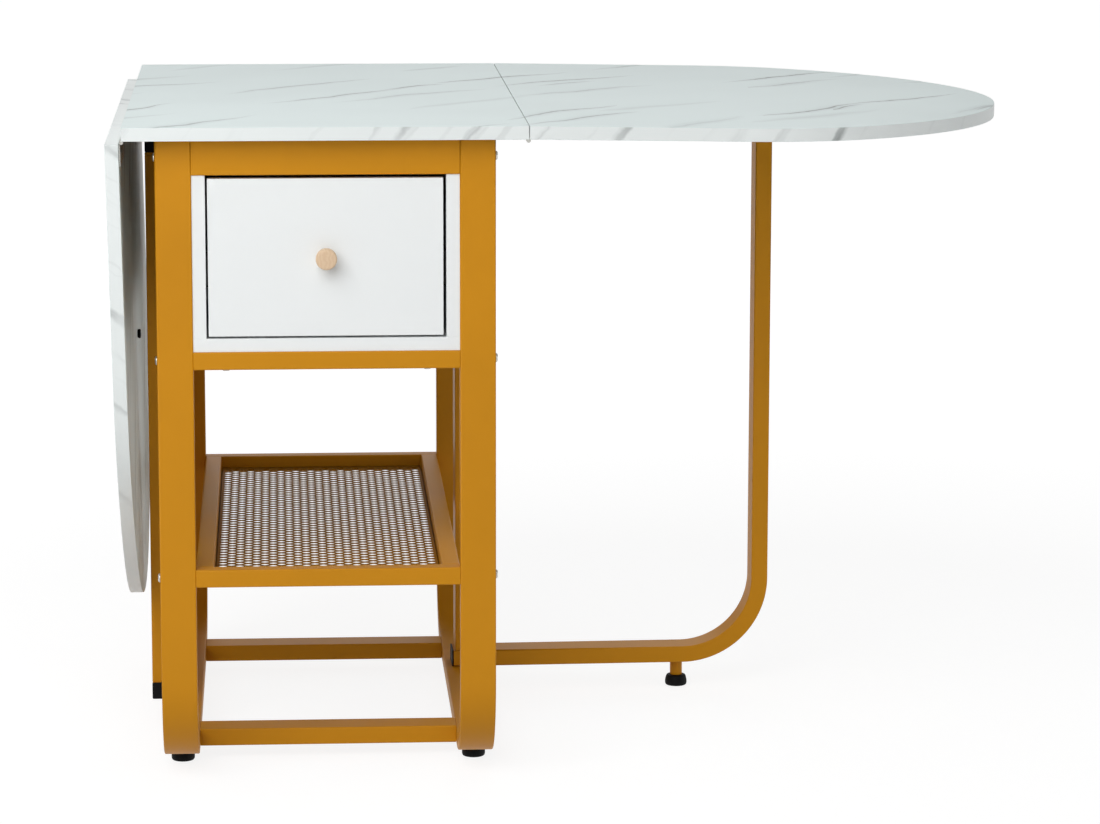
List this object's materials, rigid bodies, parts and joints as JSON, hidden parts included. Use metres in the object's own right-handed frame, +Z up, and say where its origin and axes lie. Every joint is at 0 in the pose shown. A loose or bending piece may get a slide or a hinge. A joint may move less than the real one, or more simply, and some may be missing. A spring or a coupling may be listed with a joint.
{
  "type": "kitchen table",
  "caption": "Drop-leaf kitchen table on a bent steel tube frame, with a drawer cabinet, a mesh shelf, swinging gate legs and marbled leaves, one raised and one hanging.",
  "frame": {"origin": "middle of the whole table's footprint, on the floor, with the right leaf raised and the left leaf hanging", "axes": "+X from the hanging leaf to the raised leaf, +Y from the drawer side to the back, +Z up"},
  "size_m": [1.0412, 0.764, 0.75],
  "materials": {
    "top_laminate": "white marbled laminate with faint grey veins, satin",
    "panel_laminate": "plain white laminate, satin",
    "gold_paint": "satin gold powder coat",
    "bright_steel": "zinc plated steel",
    "black_rubber": "matt black",
    "black_plastic": "matt black",
    "knob_wood": "pale natural wood, satin"
  },
  "bodies": {
    "frame": {"apron_back": "gold_paint", "apron_front": "gold_paint", "cabinet_back": "panel_laminate", "cabinet_floor": "panel_laminate", "cabinet_side_left": "panel_laminate", "cabinet_side_right": "panel_laminate", "centre_top": "top_laminate", "drawer_rail_back": "gold_paint", "drawer_rail_front": "gold_paint", "foot_back_left": "black_rubber", "foot_back_right": "black_rubber", "foot_front_left": "black_rubber", "foot_front_right": "black_rubber", "frame_bolts": "bright_steel", "hinge_pins": "bright_steel", "hinge_top_plates": "bright_steel", "low_rail_back": "gold_paint", "low_rail_front": "gold_paint", "pivot_brackets": "black_plastic", "pivot_pins": "bright_steel", "pivot_washers": "bright_steel", "rail_screws": "bright_steel", "runner_channels": "bright_steel", "shelf_mesh": "gold_paint", "shelf_rail_back": "gold_paint", "shelf_rail_front": "gold_paint", "shelf_side_left": "gold_paint", "shelf_side_right": "gold_paint", "side_frame_left": "gold_paint", "side_frame_right": "gold_paint", "top_side_rail_left": "gold_paint", "top_side_rail_right": "gold_paint"},
    "drawer": {"drawer_back": "panel_laminate", "drawer_floor": "panel_laminate", "drawer_front": "panel_laminate", "drawer_knob": "knob_wood", "drawer_side_left": "panel_laminate", "drawer_side_right": "panel_laminate", "knob_screw": "bright_steel", "runner_bars": "bright_steel"},
    "right_leaf": {"leaf_right": "top_laminate", "hinge_leaf_plates_right": "bright_steel", "leaf_bumper_right": "black_rubber"},
    "left_leaf": {"leaf_left": "top_laminate", "hinge_leaf_plates_left": "bright_steel", "leaf_bumper_left": "black_rubber"},
    "right_gate": {"gate_caps_right": "black_plastic", "gate_foot_right": "black_rubber", "gate_loop_right": "gold_paint", "gate_plate_right": "gold_paint", "gate_post_right": "gold_paint", "gate_stub_right": "gold_paint"},
    "left_gate": {"gate_caps_left": "black_plastic", "gate_foot_left": "black_rubber", "gate_loop_left": "gold_paint", "gate_plate_left": "gold_paint", "gate_post_left": "gold_paint", "gate_stub_left": "gold_paint"}
  },
  "joints": [
    {"name": "drawer_slide", "type": "slide", "parent": "frame", "child": "drawer", "axis": [0, -1, 0], "range_m": [0, 0.3]},
    {"name": "right_gate_swing", "type": "hinge", "parent": "frame", "child": "right_gate", "pos_m": [-0.10536, 0.0675, 0], "axis": [0, 0, 1], "range_deg": [-91.3, 0]},
    {"name": "right_leaf_hinge", "type": "hinge", "parent": "frame", "child": "right_leaf", "pos_m": [-0.05486, 0, 0.73225], "axis": [0, 1, 0], "range_deg": [-0.88, 0]},
    {"name": "left_leaf_hinge", "type": "hinge", "parent": "frame", "child": "left_leaf", "pos_m": [-0.50286, 0, 0.73225], "axis": [0, 1, 0], "range_deg": [0, 91.1]},
    {"name": "left_gate_swing", "type": "hinge", "parent": "frame", "child": "left_gate", "pos_m": [-0.45236, -0.0675, 0], "axis": [0, 0, 1], "range_deg": [0, 1.5]}
  ]
}
